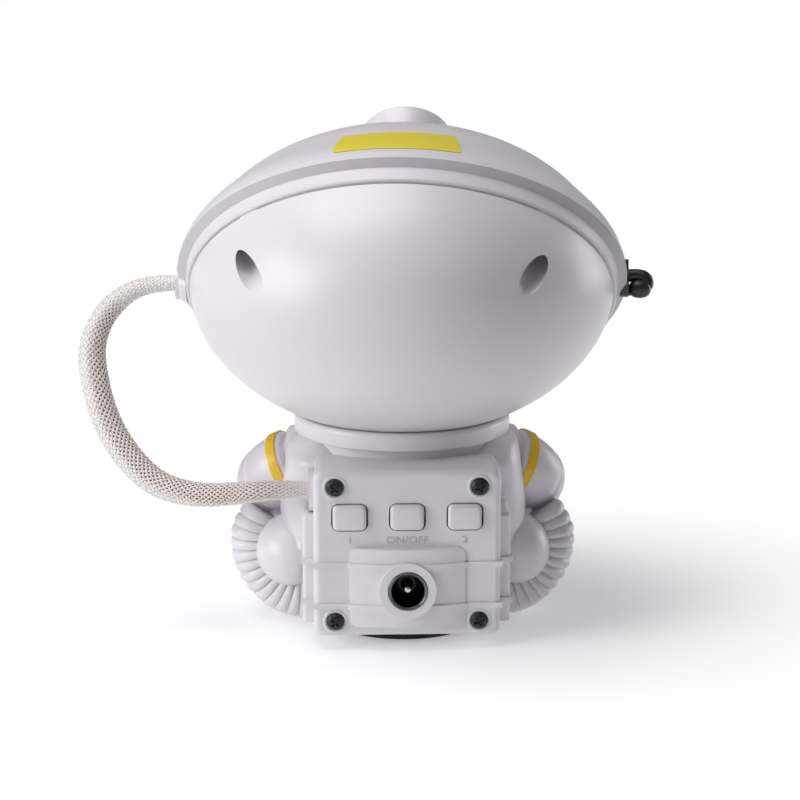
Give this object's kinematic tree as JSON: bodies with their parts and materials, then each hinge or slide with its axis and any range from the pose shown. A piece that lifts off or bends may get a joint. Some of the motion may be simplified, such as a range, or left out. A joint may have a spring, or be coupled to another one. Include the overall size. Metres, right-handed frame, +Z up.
{
  "type": "star projector",
  "caption": "Astronaut figure star and nebula projector: turning helmet with lens tube and geared ripple disc, ribbed legs, backpack with push buttons and power socket, braided hose.",
  "frame": {"origin": "on the neck axis, on the underside of the base pad where the figure stands", "axes": "+Z up along the neck axis; +Y the way the figure faces; the backpack with its buttons and power socket faces -Y; +X to the right of a person who looks at the backpack"},
  "size_m": [0.2023, 0.15, 0.1772],
  "materials": {
    "white_abs": "satin",
    "light_trim": "satin",
    "grey_abs": "satin",
    "yellow": "satin",
    "dark_base": "matt",
    "rubber": "matt",
    "nylon": "natural",
    "black_plastic": "fine texture",
    "smoked": "polished",
    "optic": "clear",
    "steel": "turned",
    "black_steel": "black oxide",
    "chrome": "bright",
    "aluminium": "milled",
    "brass": "turned",
    "circuit": "solder mask",
    "emitter": "moulded",
    "sleeving": "braided",
    "ripple": "rippled"
  },
  "bodies": {
    "figure": {"arm_band_left": "yellow", "arm_band_right": "yellow", "arm_left": "white_abs", "arm_right": "white_abs", "backpack_case": "white_abs", "backpack_cover": "white_abs", "backpack_hose_gland": "white_abs", "base_pad": "rubber", "base_plate": "dark_base", "boot_left": "white_abs", "boot_right": "white_abs", "braided_hose": "sleeving", "button_switches": "black_plastic", "chest_panel": "white_abs", "control_board": "circuit", "cover_screws": "black_steel", "glove_left": "white_abs", "glove_right": "white_abs", "hip_cap_left": "white_abs", "hip_cap_right": "white_abs", "neck_collar": "white_abs", "neck_retainer": "nylon", "neck_spigot": "grey_abs", "power_socket_core": "black_plastic", "power_socket_sleeve": "chrome", "ribbed_leg_left": "white_abs", "ribbed_leg_right": "white_abs", "shin_left": "white_abs", "shin_right": "white_abs", "shoulder_cuff_left": "white_abs", "shoulder_cuff_right": "white_abs", "swivel_washer": "nylon", "torso_front_shell": "white_abs", "torso_rear_shell": "white_abs"},
    "head": {"helmet_front_shell": "white_abs", "helmet_rear_shell": "white_abs", "helmet_trim_ring": "light_trim", "helmet_screws": "steel", "visor": "smoked", "laser_window": "optic", "laser_module": "brass", "lens_tube": "white_abs", "projection_lens": "optic", "optics_bulkhead": "grey_abs", "heat_sink": "aluminium", "led_board": "circuit", "led_emitters": "emitter", "collimator_lens": "optic", "disc_axle": "steel", "ripple_motor": "steel", "helmet_hose_gland": "white_abs", "mic_mount": "black_plastic", "mic_boom": "black_plastic", "mic_tip": "black_plastic"},
    "disc": {"ripple_disc": "ripple"},
    "pinion": {"motor_pinion": "nylon"},
    "mode_button": {"mode_button": "white_abs"},
    "power_button": {"power_button": "white_abs"},
    "speed_button": {"speed_button": "white_abs"}
  },
  "joints": [
    {"name": "head_turn", "type": "hinge", "parent": "figure", "child": "head", "pos_m": [0, 0, 0.0729], "axis": [0, 0, 1], "range_deg": [-36, 44], "deforming": ["braided_hose"]},
    {"name": "disc_spin", "type": "hinge", "parent": "head", "child": "disc", "pos_m": [0.00148, 0.0212, 0.12109], "axis": [0.0514, 0.7355, 0.6756], "continuous": true},
    {"name": "pinion_spin", "type": "hinge", "parent": "head", "child": "pinion", "pos_m": [0.02428, 0.0301, 0.10967], "axis": [0.0514, 0.7355, 0.6756], "continuous": true},
    {"name": "mode_press", "type": "slide", "parent": "figure", "child": "mode_button", "axis": [0, 1, 0], "range_m": [0, 0.0015], "stiffness_N_per_m": 200},
    {"name": "power_press", "type": "slide", "parent": "figure", "child": "power_button", "axis": [0, 1, 0], "range_m": [0, 0.0015], "stiffness_N_per_m": 200},
    {"name": "speed_press", "type": "slide", "parent": "figure", "child": "speed_button", "axis": [0, 1, 0], "range_m": [0, 0.0015], "stiffness_N_per_m": 200}
  ],
  "couplings": [
    {"joint": "pinion_spin", "follows": "disc_spin", "ratio": -4}
  ]
}
